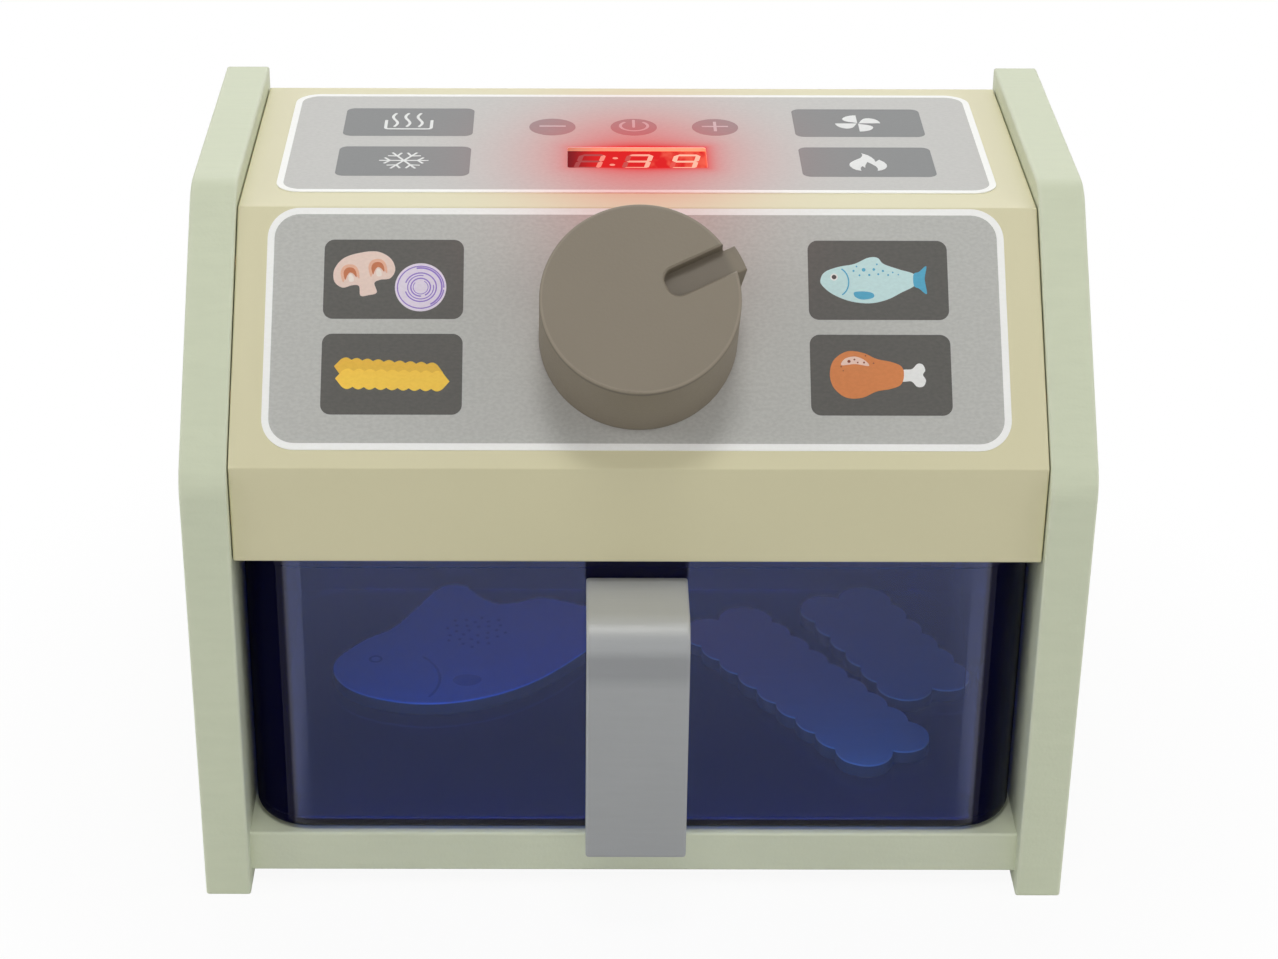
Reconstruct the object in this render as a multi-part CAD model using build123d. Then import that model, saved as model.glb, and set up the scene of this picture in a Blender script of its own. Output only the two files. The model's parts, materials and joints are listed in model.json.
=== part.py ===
from build123d import *
from math import radians, sin, sqrt, tan
import os

# Toy air fryer: painted boards round a drawer bay, a clear blue drawer that slides on the base
# board, a selector knob on the sloping control board and a small lit timer in the top board.
# Millimetres, +Z up, front towards -Y. Pieces are drawn with y = 0 at the front edge of the side
# panels and moved at the end, so that the origin is the middle of the footprint, on the floor.

# Housing
width = 230.0
panel_depth = 145.0
panel_height = 183.2
front_edge_height = 125.7
top_edge_start = 55.8
panel_corner = 12.0
panel_board = 12.0
panel_arris = 0.7
panel_end_radius = 0.8
base_front = 5.0
base_underside = 4.8
shell_board = 9.0
shell_front = 2.6
shell_back = 141.3
fascia_underside = 101.6
top_surface = 178.2
slope_rise = 125.75          # z minus y on the face of the 45 degree control board
shell_arris = 0.7
shell_end_arris = 0.5        # where the boards meet the side panels
shell_end_gap = 0.3          # left open between the boards' ends and the side panels
shelf_underside = 103.0
back_board = 5.0

# Joinery
dowel_radius = 3.0
dowel_glue_gap = 0.05
dowel_in_panel = 8.0
dowel_in_board = 14.0
dowel_spare = 0.5            # the bores run past the dowels' ends
back_screw_radius = 1.5
back_screw_head = 3.0
back_screw_length = 22.0
back_screw_x = 85.0
small_screw_radius = 1.25

# Printed films
film = 0.25
film_half_width = 94.2
top_film_start = 9.7         # behind the crease between slope and top
top_film_length = 72.8
top_film_corner = 6.7
slope_film_start = 4.8       # up the slope from the crease with the fascia
slope_film_length = 65.3
slope_film_corner = 8.3
slope_film_x = -0.5

# Timer and keys
window_width = 37.2
window_length = 15.1
window_x = 0.5
window_back_offset = 34.4    # centre of the window, behind the crease
window_recess = 1.2
digit_height = 10.5
digit_width = 7.2
digit_slant = 10.0           # degrees
digit_bar = 1.3
digit_centres = (-12.1, 0.7, 13.4)
key_spacing = 22.3
key_back_offset = 57.2
key_radius = 2.95
key_bore = 3.0
key_travel = 0.5
key_slack = 0.3              # still free under the key's tip when it is pressed
switch_size = 6.0
switch_height = 3.3
switch_well = 1.6            # floor of the well that the key's tip moves in
switch_well_radius = 1.6
circuit_top = 164.2
circuit_thickness = 1.6
circuit_half_width = 38.0
circuit_front = 75.0
circuit_back = 117.0
spacer_radius = 3.0

# Knob, measured along the normal of the slope from the board's face
knob_radius = 24.8
knob_foot_radius = 25.2
knob_top = 27.2
knob_gap = 0.6
knob_up_slope = 35.3
knob_angle = 26.0            # direction of the pointer, above +X in the plane of the slope
slot_width = 7.6
slot_depth = 3.6
slot_corner = 3.0
slot_bevel = 0.45
slot_inner_radius = 7.2
pointer_width = 7.0
pointer_reach = 28.0
pointer_foot_reach = 25.6
spindle_radius = 4.0
spindle_play = 0.05
spindle_end = 13.0           # top of its flatted end, inside the knob
spindle_flat = 3.0           # from the axis to the flat
bush_radius = 7.0
bush_flange_radius = 11.0
bush_flange = 1.5
washer_thickness = 0.5
spindle_flange_radius = 9.0
spindle_flange = 2.0
knob_roof = 6.2
knob_wall = 2.5
knob_boss_radius = 7.5
knob_rib = 1.6

# Drawer
drawer_half_width = 102.2
drawer_front = 6.3
drawer_back = 133.5
drawer_corner = 16.0
drawer_lift = 0.3            # clearance over the base board
drawer_rim = 100.5
drawer_wall = 2.0
lip_reach = 0.5
lip_height = 2.6
handle_half_width = 13.0
handle_thickness = 10.0
handle_front = -20.0
handle_top = 94.95
handle_bottom = 26.3
handle_bend = 8.0
handle_screw_x = 6.5
handle_screw_radius = 1.5
handle_screw_grip = 14.0     # length inside the handle's arm
handle_screw_head = 2.2
handle_washer = 0.8

# Play food, lying on the drawer's floor
food_thickness = 4.0
food_gap = 0.2
fish_place = (-85.2, 77.5, 18.9)         # x, y and turn of its nose
near_chip_place = (49.7, 72.3, -57.4)
far_chip_place = (75.3, 95.2, -65.9)
near_chip_scallops = 9                   # along one side
far_chip_scallops = 6
chip_scallop = 9.3
chip_across = 25.6
chip_scallop_rise = 1.6
chip_end_rise = 3.6

# Battery box, let into the back board and opened from behind
battery_z = 140.5
battery_half_width = 35.5
battery_half_height = 20.5
battery_inner_face = 127.8
battery_wall = 2.0
battery_flange = 6.0
battery_flange_thickness = 1.5
battery_screw_inset = 3.0
door_half_width = 33.5
door_half_height = 18.4
door_play = 0.3
door_tab_reach = 1.5
door_tab_z = 9.0
door_screw_x = 25.5
cell_room = (-31.0, 17.5)    # x of the two ends of the cells' room
cell_room_half_height = 16.9
cell_radius = 5.2
cell_length = 44.5
cell_pitch = 11.1
cell_y = 135.6
contact_half_height = 4.0
lead_x = (-25.0, -20.0)
lead_radius = 0.7
lead_rise_y = 112.0

# Sizes worked out from the driving dimensions
half_width = width / 2
inner_half = half_width - panel_board
base_top = base_underside + panel_board
back_board_front = shell_back - back_board
shell_inner_top = top_surface - shell_board
crease_low = (shell_front, shell_front + slope_rise)
crease_high = (top_surface - slope_rise, top_surface)
drawer_bottom = base_top + drawer_lift
drawer_floor = drawer_bottom + drawer_wall
window_y = crease_high[0] + window_back_offset
key_y = crease_high[0] + key_back_offset
film_top = top_surface + film
module_face = film_top - window_recess
handle_screw_z = handle_top - handle_thickness / 2
battery_screw_x = battery_half_width + battery_screw_inset
battery_screw_z = battery_half_height + battery_screw_inset
battery_screw_places = [(side * battery_screw_x, battery_z + level * battery_screw_z)
                        for side in (-1, 1) for level in (-1, 1)]
knob_centre = (0, crease_low[0] + knob_up_slope * sin(radians(45)),
               crease_low[1] + knob_up_slope * sin(radians(45)))
slope = Plane(origin=knob_centre, x_dir=(1, 0, 0), z_dir=(0, -1, 1))
footprint_middle = (panel_depth + handle_front) / 2


def block(x0, x1, y0, y1, z0, z1):
    """A box between two corners."""
    return Pos((x0 + x1) / 2, (y0 + y1) / 2, (z0 + z1) / 2) * Box(x1 - x0, y1 - y0, z1 - z0)


def rod(x, y, z0, z1, radius):
    """An upright cylinder."""
    return Pos(x, y, (z0 + z1) / 2) * Cylinder(radius, z1 - z0)


def rod_along_x(x0, x1, y, z, radius):
    """A cylinder along X."""
    return Pos((x0 + x1) / 2, y, z) * Rot(0, 90, 0) * Cylinder(radius, x1 - x0)


def rod_along_y(x, y0, y1, z, radius):
    """A cylinder along Y."""
    return Pos(x, (y0 + y1) / 2, z) * Rot(90, 0, 0) * Cylinder(radius, y1 - y0)


def side_profile(points, radii, x0, x1):
    """An outline given as (y, z) corners with a radius each, carried along X."""
    outline = FilletPolyline(*points, radius=radii, close=True)
    return Pos(x0, 0, 0) * extrude(Plane.YZ * make_face(outline), x1 - x0)


def on_slope(shape):
    """Places a shape drawn round the knob's axis, with Z along the normal of the slope."""
    return slope.location * shape


def group(pieces):
    """Separate solids that share one node."""
    return Compound(children=[solid for piece in pieces for solid in piece.solids()])


def slope_point(up_slope, depth):
    """(y, z) of a point this far up the slope and this deep under its face."""
    run = sin(radians(45))
    return crease_low[0] + (up_slope + depth) * run, crease_low[1] + (up_slope - depth) * run


def dowel_places():
    """(y, z) of the dowels in one end of each board."""
    base_middle = base_underside + panel_board / 2
    shelf_middle = shelf_underside + shell_board / 2
    top_middle = top_surface - shell_board / 2
    fascia_middle = shell_front + shell_board / 2
    return [(28, base_middle), (112, base_middle), (28, shelf_middle), (112, shelf_middle),
            (fascia_middle, 113), slope_point(20, shell_board / 2), slope_point(56, shell_board / 2),
            (80, top_middle), (122, top_middle)]


def dowels():
    """Beech dowels that join the boards to both side panels."""
    pieces = []
    for y, z in dowel_places():
        for side in (-1, 1):
            ends = sorted((side * (inner_half - dowel_in_board), side * (inner_half + dowel_in_panel)))
            peg = rod_along_x(*ends, y, z, dowel_radius - dowel_glue_gap)
            pieces.append(chamfer(peg.edges().filter_by(GeomType.CIRCLE), 0.6))
    return pieces


def dowel_holes():
    """The bores that the dowels sit in, a little deeper at each end."""
    bores = []
    for y, z in dowel_places():
        for side in (-1, 1):
            ends = sorted((side * (inner_half - dowel_in_board - dowel_spare),
                           side * (inner_half + dowel_in_panel + dowel_spare)))
            bores.append(rod_along_x(*ends, y, z, dowel_radius))
    return bores


def side_panel(side):
    """One side panel: a board with a sloping front corner, rounded at its bends and arrises."""
    corners = [(0, 0), (0, front_edge_height), (top_edge_start, panel_height),
               (panel_depth, panel_height), (panel_depth, 0)]
    x0, x1 = sorted((side * inner_half, side * half_width))
    radii = [panel_end_radius, panel_corner, panel_corner, panel_end_radius, panel_end_radius]
    board = side_profile(corners, radii, x0, x1)
    ends = board.faces().filter_by(Axis.X).edges()
    return fillet(ends, panel_arris)


def base_board():
    """The board that the drawer slides on."""
    board = block(-inner_half, inner_half, base_front, back_board_front, base_underside, base_top)
    return fillet(board.edges().filter_by(Axis.X).group_by(Axis.Y)[0], panel_arris)


def shelf_board():
    """Closes the drawer bay above the drawer and the electronics bay below it."""
    return block(-inner_half, inner_half, shell_front + shell_board, back_board_front,
                 shelf_underside, shelf_underside + shell_board)


def shell_outline():
    """Corners of the folded shell, outside first and then back along its inside."""
    inner_front = shell_front + shell_board
    inner_rise = slope_rise - shell_board * sqrt(2)
    outside = [(shell_front, fascia_underside), crease_low, crease_high, (shell_back, top_surface)]
    inside = [(shell_back, shell_inner_top), (shell_inner_top - inner_rise, shell_inner_top),
              (inner_front, inner_front + inner_rise), (inner_front, fascia_underside)]
    return outside, inside


def lies_outside(edge):
    """Whether an edge runs along the outer face of the fascia, the control board or the top board."""
    middle = edge.center()
    on_fascia = abs(middle.Y - shell_front) < 0.01
    on_slope_face = abs(middle.Z - middle.Y - slope_rise) < 0.01
    on_top = abs(middle.Z - top_surface) < 0.01
    return on_fascia or on_slope_face or on_top


def mitre(outer, inner):
    """The plane of a mitre joint, facing up and back along the shell."""
    along = Vector(0, inner[0] - outer[0], inner[1] - outer[1])
    return Plane(origin=(0, *outer), x_dir=(1, 0, 0), z_dir=Vector(1, 0, 0).cross(along))


def shell_boards():
    """Fascia, control board and top board, mitred along the two creases."""
    outside, inside = shell_outline()
    radii = [shell_arris] * 4 + [0] * 4
    reach = inner_half - shell_end_gap
    shell = side_profile(outside + inside, radii, -reach, reach)
    ends = shell.faces().filter_by(Axis.X).edges().filter_by(lies_outside)
    shell = fillet(ends, shell_end_arris)
    low = mitre(outside[1], inside[2])
    high = mitre(outside[2], inside[1])
    fascia = split(shell, bisect_by=low, keep=Keep.BOTTOM)
    rest = split(shell, bisect_by=low, keep=Keep.TOP)
    control = split(rest, bisect_by=high, keep=Keep.BOTTOM)
    top = split(rest, bisect_by=high, keep=Keep.TOP)
    return fascia, control, top


def finish_control_board(board):
    """Bores the control board for the knob's bush."""
    return board - on_slope(Cylinder(bush_radius, 3 * shell_board))


def finish_top_board(board):
    """Cuts the timer window, the key bores and the pilot holes for the circuit board's screws."""
    spare = 0.2
    board -= block(window_x - window_width / 2 - spare, window_x + window_width / 2 + spare,
                   window_y - window_length / 2 - spare, window_y + window_length / 2 + spare,
                   shell_inner_top - 1, top_surface + 1)
    for x in key_places():
        board -= rod(x, key_y, shell_inner_top - 1, top_surface + 1, key_bore)
    for x, y in circuit_screw_places():
        board -= rod(x, y, shell_inner_top - 1, shell_inner_top + 6, small_screw_radius)
    return board


def battery_opening():
    """The box through the back board that the battery box sits in."""
    return block(-battery_half_width, battery_half_width, battery_inner_face, shell_back + 1,
                 battery_z - battery_half_height, battery_z + battery_half_height)


def back_screw_places():
    """(x, z) of the screws that hold the back board to the base and the shelf."""
    rows = (base_underside + panel_board / 2, shelf_underside + shell_board / 2)
    return [(x, z) for z in rows for x in (-back_screw_x, 0, back_screw_x)]


def screw_along_y(x, z, head_y, length, radius, head_radius, head_depth, flush=True):
    """A cross-head screw pushed in along -Y from its head; a countersunk head ends flush."""
    shank = rod_along_y(x, head_y - length, head_y - head_depth / 2, z, radius)
    if flush:
        head = Pos(x, head_y - head_depth / 2, z) * Rot(90, 0, 0) * Cone(head_radius, radius, head_depth)
    else:
        disc = rod_along_y(x, head_y - head_depth, head_y, z, head_radius)
        head = fillet(disc.edges().filter_by(GeomType.CIRCLE).sort_by(Axis.Y)[-1], head_depth * 0.4)
    recess = head_depth * 0.55
    arm = head_radius * 0.55
    for turn in (0, 90):
        slot = Box(2 * arm, recess + 0.02, head_radius * 0.22)
        head -= Pos(x, head_y - recess / 2, z) * Rot(0, turn, 0) * slot
    return shank + head


def back_panel():
    """The back board, with the opening for the battery box and countersunk screw holes."""
    board = block(-inner_half, inner_half, back_board_front, shell_back, base_underside, shell_inner_top)
    board = fillet(board.faces().sort_by(Axis.Y)[-1].edges(), 0.6)
    board -= battery_opening()
    for x, z in back_screw_places():
        board -= rod_along_y(x, back_board_front - 1, shell_back + 1, z, back_screw_radius)
        board -= Pos(x, shell_back - 1, z) * Rot(90, 0, 0) * Cone(back_screw_head, back_screw_radius, 2)
    for x, z in battery_screw_places:
        board -= rod_along_y(x, back_board_front - 1, shell_back + 1, z, 1.0)
    return board


def back_screws():
    """Countersunk screws through the back board into the base and the shelf."""
    return [screw_along_y(x, z, shell_back, back_screw_length, back_screw_radius, back_screw_head, 2)
            for x, z in back_screw_places()]


def screw_pilots(board):
    """Drills a board's back edge for the screws that end in it."""
    for x, z in back_screw_places():
        board -= rod_along_y(x, shell_back - back_screw_length - 0.5, shell_back, z, back_screw_radius)
    return board


def film_sheet(x_half, length, corner):
    """A printed film with rounded corners, drawn flat and centred."""
    return extrude(RectangleRounded(2 * x_half, length, corner), film)


def top_film():
    """The printed film on the top board, open over the timer."""
    middle = crease_high[0] + top_film_start + top_film_length / 2
    sheet = Pos(0, middle, top_surface) * film_sheet(film_half_width, top_film_length, top_film_corner)
    window = extrude(RectangleRounded(window_width, window_length, 0.8), 2)
    return sheet - Pos(window_x, window_y, top_surface - 1) * window


def slope_film():
    """The printed film on the control board, open round the knob's bush."""
    middle = slope_film_start + slope_film_length / 2 - knob_up_slope
    sheet = Pos(slope_film_x, middle, 0) * film_sheet(film_half_width, slope_film_length, slope_film_corner)
    return on_slope(sheet - Cylinder(bush_radius, 4))


def key_places():
    """x of the minus, power and plus keys."""
    return (-key_spacing, 0, key_spacing)


def press_key(x):
    """A stem under the film, with a collar under the top board and a tip that meets the switch."""
    tip_end = circuit_top + switch_well + key_travel + key_slack
    collar_top = shell_inner_top - 0.1
    stem = rod(x, key_y, collar_top - 0.5, top_surface - 0.05, key_radius)
    stem = fillet(stem.edges().filter_by(GeomType.CIRCLE).sort_by(Axis.Z)[-1], 0.4)
    collar = rod(x, key_y, collar_top - 1, collar_top, 1.5 * key_radius)
    tip = rod(x, key_y, tip_end, collar_top - 0.9, switch_well_radius - 0.1)
    return stem + collar + tip


def tact_switch(x):
    """A small push switch on the circuit board, with the well that the key's tip moves in."""
    half = switch_size / 2
    body = block(x - half, x + half, key_y - half, key_y + half, circuit_top, circuit_top + switch_height)
    body = chamfer(body.edges().group_by(Axis.Z)[-1], 0.3)
    return body - rod(x, key_y, circuit_top + switch_well, circuit_top + switch_height + 1,
                      switch_well_radius)


def circuit_screw_places():
    """(x, y) of the four screws and spacers, in the corners of the circuit board."""
    inset = 4
    return [(x, y) for x in (inset - circuit_half_width, circuit_half_width - inset)
            for y in (circuit_front + inset, circuit_back - inset)]


def circuit_board():
    """The circuit board, hung under the top board on four spacers."""
    board = block(-circuit_half_width, circuit_half_width, circuit_front, circuit_back,
                  circuit_top - circuit_thickness, circuit_top)
    board = fillet(board.edges().filter_by(Axis.Z), 2)
    for x, y in circuit_screw_places():
        board -= rod(x, y, circuit_top - 3, circuit_top + 1, small_screw_radius + 0.05)
    return board


def circuit_spacers():
    """Tubes that keep the circuit board clear of the top board."""
    return [rod(x, y, circuit_top, shell_inner_top, spacer_radius)
            - rod(x, y, circuit_top - 1, shell_inner_top + 1, small_screw_radius + 0.05)
            for x, y in circuit_screw_places()]


def circuit_screws():
    """Pan-head screws through the circuit board and its spacers into the top board."""
    underside = circuit_top - circuit_thickness
    head_depth = 1.6
    pieces = []
    for x, y in circuit_screw_places():
        head = rod(x, y, underside - head_depth, underside, 2.3)
        head = fillet(head.edges().filter_by(GeomType.CIRCLE).sort_by(Axis.Z)[0], 0.6)
        for turn in (0, 90):
            head -= Pos(x, y, underside - head_depth + 0.3) * Rot(0, 0, turn) * Box(2.4, 0.5, 0.7)
        pieces.append(head + rod(x, y, underside, shell_inner_top + 5.5, small_screw_radius))
    return pieces


def controller_chip():
    """The timer's controller under the circuit board, with a row of legs on two sides."""
    underside = circuit_top - circuit_thickness
    half_width, front, legs, leg_pitch = 5.0, 99.0, 6, 1.0
    body = block(-half_width, half_width, front, front + (legs + 1) * leg_pitch,
                 underside - 2.0, underside - 0.3)
    chip = chamfer(body.edges().filter_by(Axis.Z), 0.4)
    for side in (-1, 1):
        inner, outer = sorted((side * (half_width - 0.2), side * (half_width + 1.4)))
        for leg in range(legs):
            y = front + (leg + 1) * leg_pitch
            chip += block(inner, outer, y - 0.25, y + 0.25, underside - 0.35, underside)
    return chip


def segment_bars():
    """The seven bars of an upright digit, as (x, y, length, along x), centred on the digit."""
    half_x = digit_width / 2 - digit_bar / 2
    half_y = digit_height / 2 - digit_bar / 2
    flat = digit_width - 2 * digit_bar
    tall = half_y - digit_bar
    return {"a": (0, half_y, flat, True), "g": (0, 0, flat, True), "d": (0, -half_y, flat, True),
            "f": (-half_x, half_y / 2, tall, False), "b": (half_x, half_y / 2, tall, False),
            "e": (-half_x, -half_y / 2, tall, False), "c": (half_x, -half_y / 2, tall, False)}


def segment(digit_x, name):
    """One slanted bar with pointed ends, let into the face of the timer module."""
    x, y, length, flat = segment_bars()[name]
    half, bar = length / 2, digit_bar / 2
    outline = [(-half - bar, 0), (-half, bar), (half, bar), (half + bar, 0), (half, -bar), (-half, -bar)]
    if not flat:
        outline = [(v, u) for u, v in outline]
    lean = tan(radians(digit_slant))
    corners = [(digit_x + x + u + (y + v) * lean, window_y + y + v) for u, v in outline]
    return Pos(0, 0, module_face - 1) * extrude(make_face(Polyline(*corners, close=True)), 1.0)


def digit_segments():
    """Bars of the three digits, split into lit and dark ones, with the colon among the lit."""
    shown = ("bc", "abcdg", "abcdfg")
    lit, dark = [], []
    for digit_x, bars in zip(digit_centres, shown):
        for name in "abcdefg":
            (lit if name in bars else dark).append(segment(digit_x, name))
    colon_x = (digit_centres[0] + digit_centres[1]) / 2
    for offset in (-2.4, 2.4):
        x = colon_x + offset * tan(radians(digit_slant))
        lit.append(rod(x, window_y + offset, module_face - 1, module_face, 0.75))
    return lit, dark


def timer_module(bars):
    """The reflector block of the timer, pocketed for its bars."""
    block_body = block(window_x - window_width / 2, window_x + window_width / 2,
                       window_y - window_length / 2, window_y + window_length / 2,
                       circuit_top, module_face)
    return block_body - bars


def battery_box():
    """A moulded tray with a flange, let into the back board, and a boss for the door's screw."""
    z0, z1 = battery_z - battery_half_height, battery_z + battery_half_height
    reach = battery_half_width + battery_flange
    flange_top = shell_back + battery_flange_thickness
    flange = block(-reach, reach, shell_back, flange_top, z0 - battery_flange, z1 + battery_flange)
    flange = fillet(flange.edges().filter_by(Axis.Y), 3)
    box = block(-battery_half_width, battery_half_width, battery_inner_face, shell_back, z0, z1) + flange
    box -= block(*cell_room, battery_inner_face + battery_wall, flange_top + 1,
                 battery_z - cell_room_half_height, battery_z + cell_room_half_height)
    box -= block(-door_half_width, door_half_width, shell_back, flange_top + 1,
                 battery_z - door_half_height, battery_z + door_half_height)
    for z in (battery_z - door_tab_z, battery_z + door_tab_z):
        box -= block(-door_half_width - door_tab_reach, -door_half_width, shell_back, shell_back + 0.8,
                     z - 3, z + 3)
    box -= rod_along_y(door_screw_x, battery_inner_face + 3, shell_back + 1, battery_z, 1.0)
    for x, z in battery_screw_places:
        box -= rod_along_y(x, shell_back - 1, shell_back + 2, z, small_screw_radius)
    for x in lead_x:
        box -= rod_along_y(x, battery_inner_face - 1, battery_inner_face + 3, battery_z + 8, lead_radius + 0.05)
    return box


def battery_door():
    """The lid of the battery box: two tabs on one side, a screw on the other, three thumb grooves."""
    inside, outside = shell_back + 0.05, shell_back + battery_flange_thickness
    half_width, half_height = door_half_width - door_play, door_half_height - door_play
    door = block(-half_width, half_width, inside, outside, battery_z - half_height, battery_z + half_height)
    for z in (battery_z - door_tab_z, battery_z + door_tab_z):
        door += block(-half_width - door_tab_reach, -half_width, inside, shell_back + 0.7, z - 2.7, z + 2.7)
    for groove in range(3):
        x = 8 + 2.5 * groove
        door -= block(x, x + 1.2, outside - 0.5, outside + 1, battery_z - 10, battery_z + 10)
    return door - rod_along_y(door_screw_x, shell_back - 1, outside + 1, battery_z, small_screw_radius)


def battery_door_screw():
    """The small screw that keeps the battery door shut."""
    return screw_along_y(door_screw_x, battery_z, shell_back + 2.7, 11, 1.0, 2.2, 1.2, flush=False)


def battery_box_screws():
    """Four small screws through the flange into the back board."""
    return [screw_along_y(x, z, shell_back + 2.7, 6.6, 1.0, 2.0, 1.2, flush=False)
            for x, z in battery_screw_places]


def battery_cell(row):
    """One cell: a plain can with its raised end; neighbours point opposite ways."""
    spring, nub_length = 3.6, 1.0
    middle = cell_room[0] + spring + cell_length / 2
    can = rod_along_x(-cell_length / 2, cell_length / 2 - nub_length, 0, 0, cell_radius)
    can = fillet(can.edges().filter_by(GeomType.CIRCLE), 0.5)
    nub = rod_along_x(cell_length / 2 - nub_length - 0.2, cell_length / 2, 0, 0, 1.9)
    turn = 180 if row == 0 else 0
    return Pos(middle, cell_y, battery_z + row * cell_pitch) * Rot(0, 0, turn) * (can + nub)


def battery_contacts():
    """Bent spring strips at one end of the cells and flat plates at the other."""
    wall, plate = cell_room
    half = contact_half_height
    bent = [(wall, -half), (wall + 0.4, -half), (wall + 3.6, 0), (wall + 0.4, half), (wall, half),
            (wall + 3.0, 0)]
    strip = extrude(Plane.XZ * make_face(Polyline(*bent, close=True)), 3, both=True)
    pieces = []
    for row in (-1, 0, 1):
        z = battery_z + row * cell_pitch
        pieces.append(Pos(0, cell_y, z) * strip)
        pieces.append(block(plate - 0.4, plate, cell_y - half, cell_y + half, z - half, z + half))
    return pieces


def battery_leads():
    """Two insulated wires from the battery box up to the circuit board."""
    start_y, low_z = battery_inner_face + battery_wall, battery_z + 8
    pieces = []
    for x in lead_x:
        route = FilletPolyline((x, start_y, low_z), (x, lead_rise_y, low_z),
                               (x, lead_rise_y, circuit_top - circuit_thickness), radius=6)
        section = Plane(origin=(x, start_y, low_z), z_dir=(0, -1, 0)) * Circle(lead_radius)
        pieces.append(sweep(section, path=route))
    return pieces


def along_axis(low, high, radius):
    """A cylinder round the knob's axis, between two heights over the slope."""
    return Pos(0, 0, (low + high) / 2) * Cylinder(radius, high - low)


def flatted_end():
    """The part of the spindle, and of its bore, that has a flat to drive the knob."""
    low = 1.0
    middle = (low + spindle_end) / 2
    flat = Box(4 * spindle_radius, 2 * (spindle_radius - spindle_flat), spindle_end - low)
    return along_axis(low, spindle_end, spindle_radius) - Pos(0, spindle_radius, middle) * flat


def knob_pointer():
    """The bar under the slot that reaches past the knob's side, furthest at its top."""
    height = knob_top - slot_depth - knob_gap
    middle = knob_gap + height / 2
    bar = Pos(pointer_reach / 2, 0, middle) * Box(pointer_reach, pointer_width, height)
    bar &= Pos(0, 0, middle) * Cone(pointer_foot_reach, pointer_reach, height)
    return fillet(bar.edges().group_by(Axis.Z)[-1], 0.5)


def knob():
    """The selector knob: a deep cap with ribs, a boss for the spindle, a slot and a pointer."""
    cap = Pos(0, 0, (knob_gap + knob_top) / 2) * Cone(knob_foot_radius, knob_radius, knob_top - knob_gap)
    cap = fillet(cap.edges().filter_by(GeomType.CIRCLE).sort_by(Axis.Z)[-1], 0.6) + knob_pointer()
    slot = RectangleRounded(2 * pointer_reach, slot_width, slot_corner)
    sunk = extrude(slot, slot_depth) + Pos(0, 0, slot_depth - slot_bevel) * extrude(slot, slot_bevel + 0.1, taper=-45)
    cap -= Pos(slot_inner_radius + pointer_reach, 0, knob_top - slot_depth) * sunk
    ceiling = knob_top - knob_roof
    cap -= along_axis(0, ceiling, knob_radius - knob_wall)
    cap += along_axis(knob_gap + 1.4, ceiling, knob_boss_radius)
    for turn in (0, 60, 120):
        cap += Rot(0, 0, turn) * Pos(0, 0, ceiling - 5) * Box(2 * (knob_radius - 2), knob_rib, 10)
    cap -= flatted_end()
    cap -= along_axis(spindle_end - 5, spindle_end + 5, small_screw_radius)
    return on_slope(Rot(0, 0, knob_angle) * cap)


def knob_spindle():
    """The spindle: a flange inside the housing, a round journal and a flatted end in the knob."""
    flange_top = -shell_board - bush_flange - washer_thickness - 0.1
    spindle = along_axis(flange_top - spindle_flange, flange_top, spindle_flange_radius)
    spindle += along_axis(flange_top, 1.0, spindle_radius) + flatted_end()
    return on_slope(Rot(0, 0, knob_angle) * (spindle - Cylinder(1.6, 60)))


def spindle_bush():
    """The nylon bush pressed into the control board."""
    sleeve = along_axis(-shell_board, film, bush_radius)
    flange = along_axis(-shell_board - bush_flange, -shell_board, bush_flange_radius)
    return on_slope(sleeve + flange - Cylinder(spindle_radius + spindle_play, 60))


def thrust_washer():
    """The washer between the bush and the spindle's flange."""
    top = -shell_board - bush_flange
    ring = along_axis(top - washer_thickness, top, spindle_flange_radius - 0.5)
    return on_slope(ring - Cylinder(spindle_radius + 0.1, 60))


def knob_screw():
    """The screw that draws the spindle up into the knob's boss."""
    seat = -shell_board - bush_flange - washer_thickness - 0.1 - spindle_flange
    head = along_axis(seat - 2, seat, 3)
    head = fillet(head.edges().filter_by(GeomType.CIRCLE).sort_by(Axis.Z)[0], 0.7)
    for turn in (0, 90):
        head -= Rot(0, 0, turn) * Pos(0, 0, seat - 1.7) * Box(3.2, 0.7, 0.8)
    return on_slope(head + along_axis(seat, spindle_end + 4, small_screw_radius))


def drawer_outline(inset):
    """The drawer's plan outline, drawn in by the inset."""
    length = drawer_back - drawer_front
    outline = RectangleRounded(2 * (drawer_half_width - inset), length - 2 * inset, drawer_corner - inset)
    return Pos(0, (drawer_front + drawer_back) / 2, 0) * outline


def drawer_bin():
    """The clear blue bin: thin walls, a rounded foot and a small lip round the rim."""
    body = Pos(0, 0, drawer_bottom) * extrude(drawer_outline(0), drawer_rim - drawer_bottom)
    body = fillet(body.faces().sort_by(Axis.Z)[0].edges(), 2.4)
    lip = Pos(0, 0, drawer_rim - lip_height) * extrude(drawer_outline(-lip_reach), lip_height)
    body = body + chamfer(lip.faces().sort_by(Axis.Z)[0].edges(), lip_reach - 0.05)
    hollow = Pos(0, 0, drawer_floor) * extrude(drawer_outline(drawer_wall), drawer_rim)
    hollow = fillet(hollow.faces().sort_by(Axis.Z)[0].edges(), 1.6)
    body -= hollow
    for x in handle_screw_places():
        body -= rod_along_y(x, drawer_front - 1, drawer_front + drawer_wall + 1, handle_screw_z,
                            handle_screw_radius + 0.1)
    return body


def handle_screw_places():
    """x of the two handle screws."""
    return (-handle_screw_x, handle_screw_x)


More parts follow.
